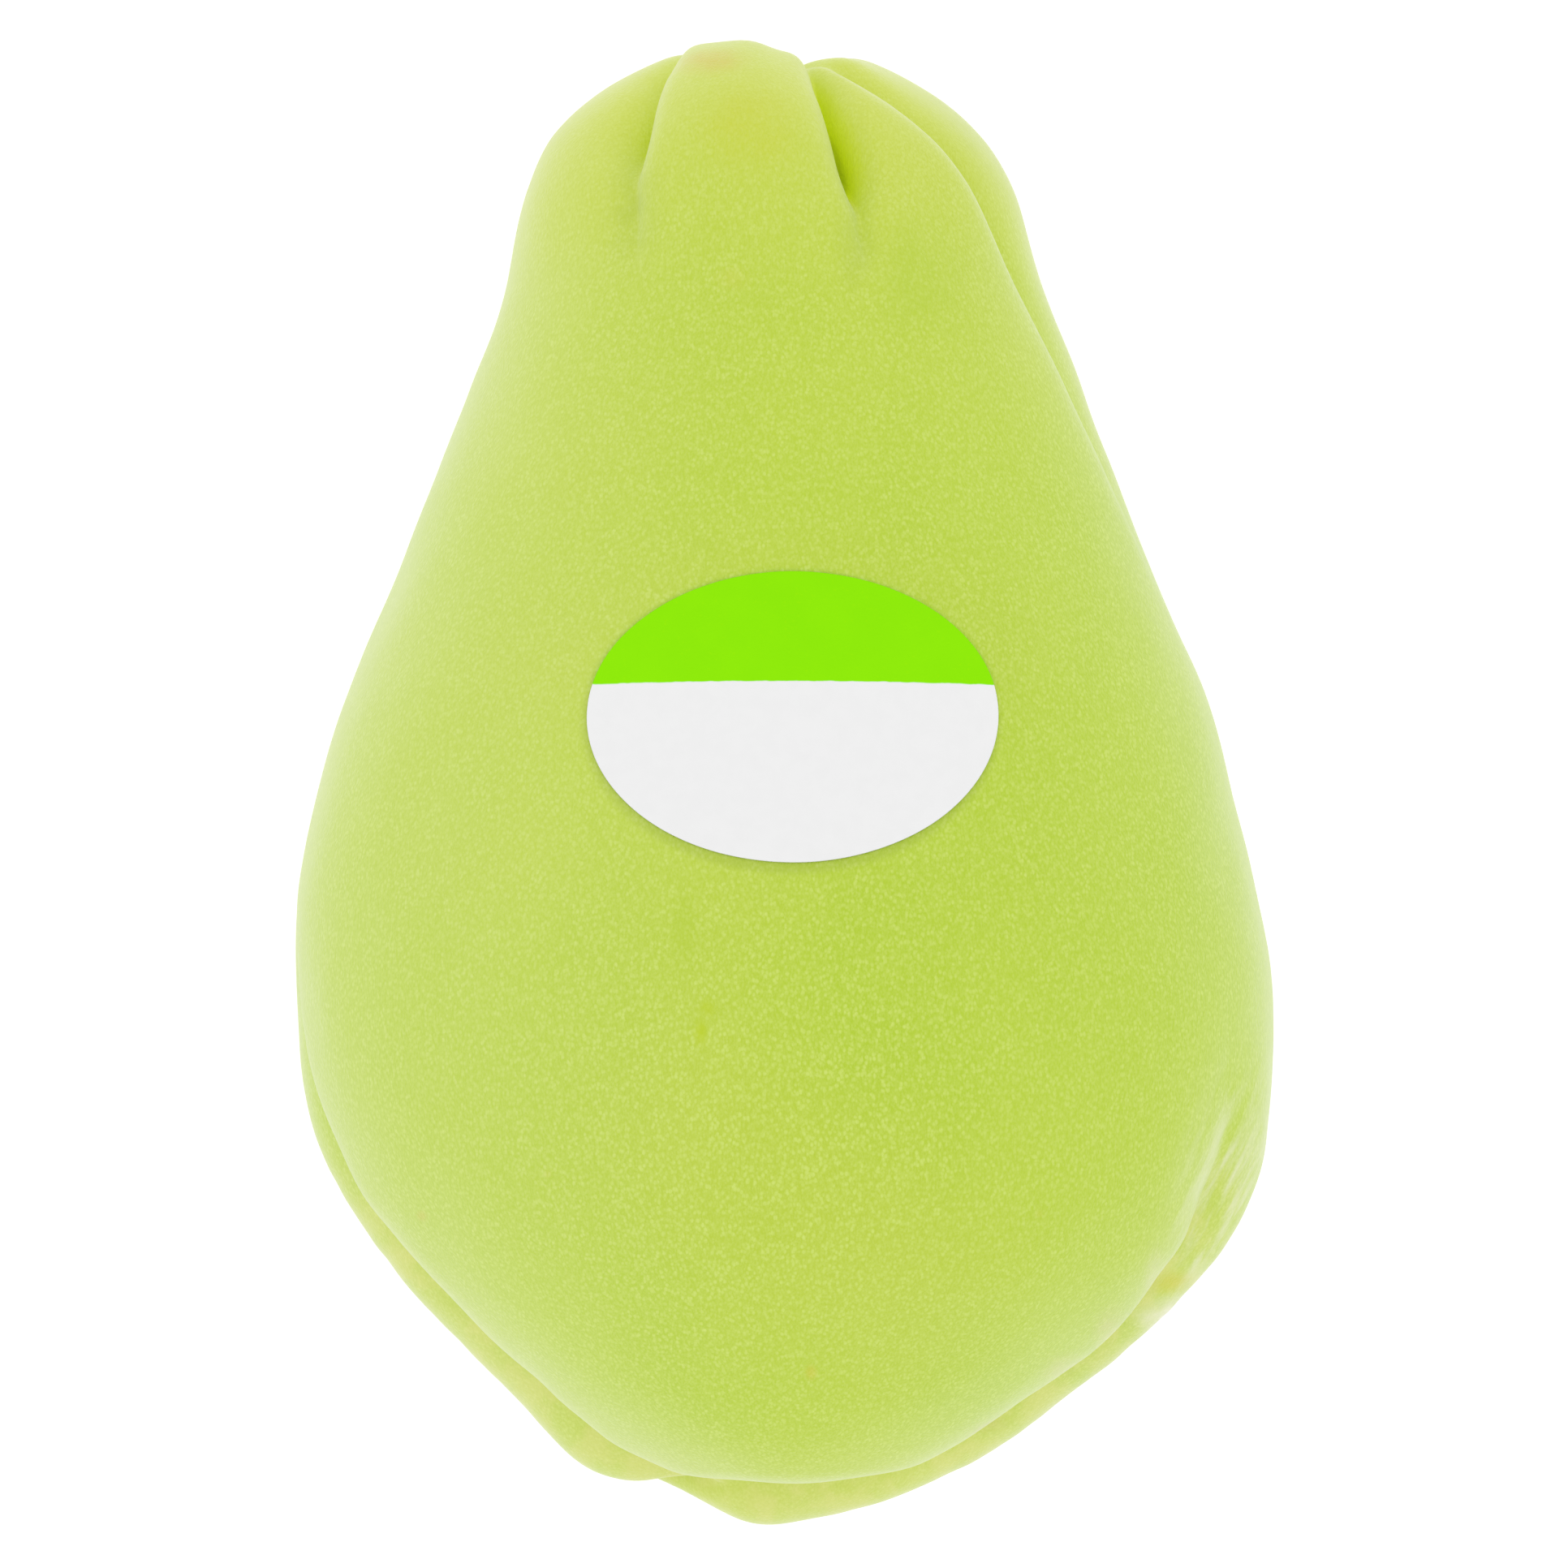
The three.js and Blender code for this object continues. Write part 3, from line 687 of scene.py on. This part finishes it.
def skin_material():
    """Waxy, pale yellow-green skin with soft lighter specks."""
    m = Shader("chayote_skin")
    grain = m.ramp(m.noise(GRAIN, 1.0, 0.6, m.place((1, 0.4, 1))), 0.3, 0.7)
    m.set("Base Color", with_marks(m, with_folds(m, plain_skin(m, grain))))
    m.set("Specular IOR Level", 0.4)
    m.set("Sheen Weight", m.ramp(m.guide("floor"), 0.1, 0.9, 0.5, 0.0))
    m.set("Sheen Roughness", 0.5)
    m.set("Roughness", m.ramp(grain, 0.0, 1.0, 0.44, 0.54))
    swells = m.bump(m.noise(SKIN_BUMPS, 2.0), SKIN_BUMP_HEIGHT)
    m.set("Normal", m.bump(grain, GRAIN_HEIGHT, below=swells))
    return m.material


def sticker_material():
    """Coated paper: a bright green band over a white field."""
    m = Shader("sticker_print")
    position = m.add("ShaderNodeSeparateXYZ", {"Vector": m.place()}).outputs
    wander = m.ramp(m.noise(900.0), 0.3, 0.7, -BAND_WANDER * MM, BAND_WANDER * MM)
    bow = m.times(position["X"], position["X"])  # the edge bends down a little towards its ends
    y = m.plus(m.plus(position["Y"], wander), bow)
    band = m.ramp(y, (BAND_EDGE - BAND_BLUR) * MM, (BAND_EDGE + BAND_BLUR) * MM)

    mottle = m.ramp(m.noise(300.0, 3.0), 0.3, 0.7, 0.0, 0.15)
    dots = m.ramp(m.noise(3200.0, 2.0), 0.62, 0.75, 0.0, 0.2)
    ink = m.mix(dots, m.mix(mottle, BAND_GREEN, BAND_MOTTLE), BAND_DOTS)
    paper = m.mix(m.ramp(m.noise(700.0, 4.0), 0.3, 0.7, 0.0, 0.4), PAPER_WHITE, PAPER_SHADE)
    m.set("Base Color", m.mix(band, paper, ink))
    m.set("Specular IOR Level", 0.05)
    m.set("Roughness", m.ramp(m.noise(500.0), 0.3, 0.7, 0.38, 0.46))
    m.set("Normal", m.bump(m.noise(2600.0, 3.0), PAPER_BUMP_HEIGHT))
    return m.material


def floor_material():
    """A pale table that glows a little, as a light table does."""
    m = Shader("floor_white")
    m.set("Base Color", (FLOOR_GREY, FLOOR_GREY, FLOOR_GREY, 1))
    m.set("Roughness", 0.9)
    m.set("Specular IOR Level", 0.0)
    m.set("Emission Color", (1, 1, 1, 1))
    m.set("Emission Strength", FLOOR_GLOW)
    return m.material


def make_floor():
    side = FLOOR_SIDE
    corners = np.array([(-side, -side, 0), (side, -side, 0), (side, side, 0), (-side, side, 0)])
    floor = new_piece("floor", corners, [(0, 1, 2, 3)], floor_material())


def make_light():
    """A light tent, a little brighter overhead than at its sides."""
    world = bpy.data.worlds.new("tent")
    world.use_nodes = True
    bpy.context.scene.world = world
    nodes, links = world.node_tree.nodes, world.node_tree.links
    where = nodes.new("ShaderNodeTexCoord")
    split = nodes.new("ShaderNodeSeparateXYZ")
    links.new(where.outputs["Generated"], split.inputs["Vector"])
    height = nodes.new("ShaderNodeMapRange")
    height.interpolation_type = "SMOOTHSTEP"
    height.inputs["From Min"].default_value = 0.1
    height.inputs["From Max"].default_value = 1.0
    height.inputs["To Min"].default_value = LIGHT_LOW
    height.inputs["To Max"].default_value = LIGHT_HIGH
    links.new(split.outputs["Z"], height.inputs["Value"])
    links.new(height.outputs["Result"], nodes["Background"].inputs["Strength"])
    nodes["Background"].inputs["Color"].default_value = (1, 1, 1, 1)


def make_camera():
    """The camera straight above the fruit."""
    lens = bpy.data.cameras.new("camera")
    lens.sensor_width = SENSOR
    lens.lens = SENSOR * CAMERA_HEIGHT / FRAME_WIDTH
    camera = bpy.data.objects.new("camera", lens)
    camera.location = (0, 0, MIDDLE_HEIGHT + CAMERA_HEIGHT)
    camera.rotation_euler = (0, 0, 0)
    bpy.context.scene.collection.objects.link(camera)
    bpy.context.scene.camera = camera


def make_object():
    points = fruit_points()
    move = settling(points)
    skin = settle(points, move)
    fitted = fit(skin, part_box("fruit"))
    fruit = new_piece("chayote_fruit", fitted(skin), fruit_faces(len(points)), skin_material())
    for name, values in colour_guides().items():
        guide = fruit.data.attributes.new(name, "FLOAT", "POINT")
        guide.data.foreach_set("value", values)
    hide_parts("fruit")
    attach(fruit, "root")

    layers = [sticker_layer(h) for h in (STICKER_GAP, STICKER_GAP + STICKER_THICKNESS)]
    paper = fitted(settle(np.concatenate(layers), move))
    sticker = new_piece("oval_sticker", paper, sticker_faces(), sticker_material())
    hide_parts("sticker")
    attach(sticker, "root")


make_camera()
make_object()
make_floor()
make_light()
bpy.context.scene.view_settings.view_transform = "Standard"
